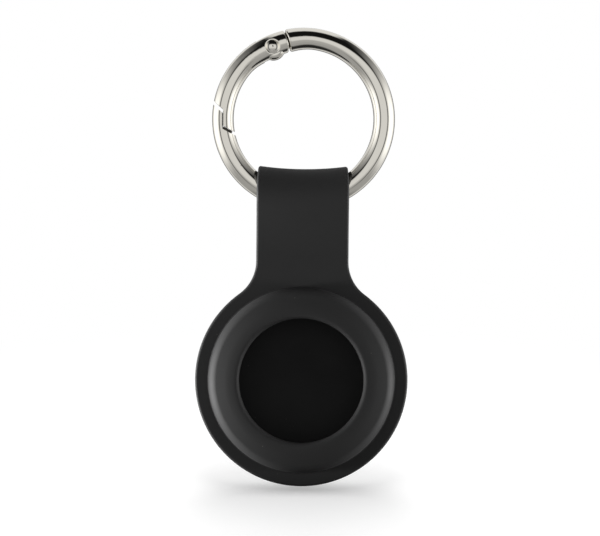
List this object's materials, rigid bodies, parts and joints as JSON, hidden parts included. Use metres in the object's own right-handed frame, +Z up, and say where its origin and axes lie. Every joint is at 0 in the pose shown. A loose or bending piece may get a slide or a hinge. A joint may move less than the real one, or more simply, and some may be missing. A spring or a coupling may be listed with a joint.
{
  "type": "tracker tag holder",
  "caption": "Soft one-piece pocket for a coin-shaped tracker tag, with a round window and a strap eye, hung on a metal ring that opens with a sprung gate.",
  "frame": {"origin": "centre of the gate ring", "axes": "+Z up from the pocket to the ring, +X right and -Y out of the front, where the window is"},
  "size_m": [0.0394, 0.011, 0.0853],
  "materials": {
    "silicone": "satin black silicone",
    "plated_ring": "bright nickel plate on die-cast metal",
    "plated_rivet": "bright nickel plate",
    "steel_inside": "plain spring steel"
  },
  "bodies": {
    "ring": {"ring_frame": "plated_ring"},
    "gate": {"ring_gate": "plated_ring", "hinge_rivet": "plated_rivet", "gate_spring": "steel_inside"},
    "plunger": {"gate_plunger": "steel_inside"},
    "holder": {"holder_body": "silicone"}
  },
  "joints": [
    {"name": "gate_hinge", "type": "hinge", "parent": "ring", "child": "gate", "pos_m": [-0.00587, 0, 0.01337], "axis": [0, -1, 0], "range_deg": [0, 30], "stiffness_Nm_per_rad": 0.03, "springref_deg": -57.3},
    {"name": "plunger_slide", "type": "slide", "parent": "gate", "child": "plunger", "axis": [-0.9157, 0, -0.4019], "range_m": [0, 0.00066], "deforming": ["gate_spring"]},
    {"name": "holder_swing", "type": "hinge", "parent": "ring", "child": "holder", "pos_m": [0, 0, -0.01369], "axis": [1, 0, 0], "range_deg": [-120, 120]}
  ],
  "couplings": [
    {"joint": "plunger_slide", "follows": "gate_hinge", "m_per_rad": 0.00126}
  ]
}
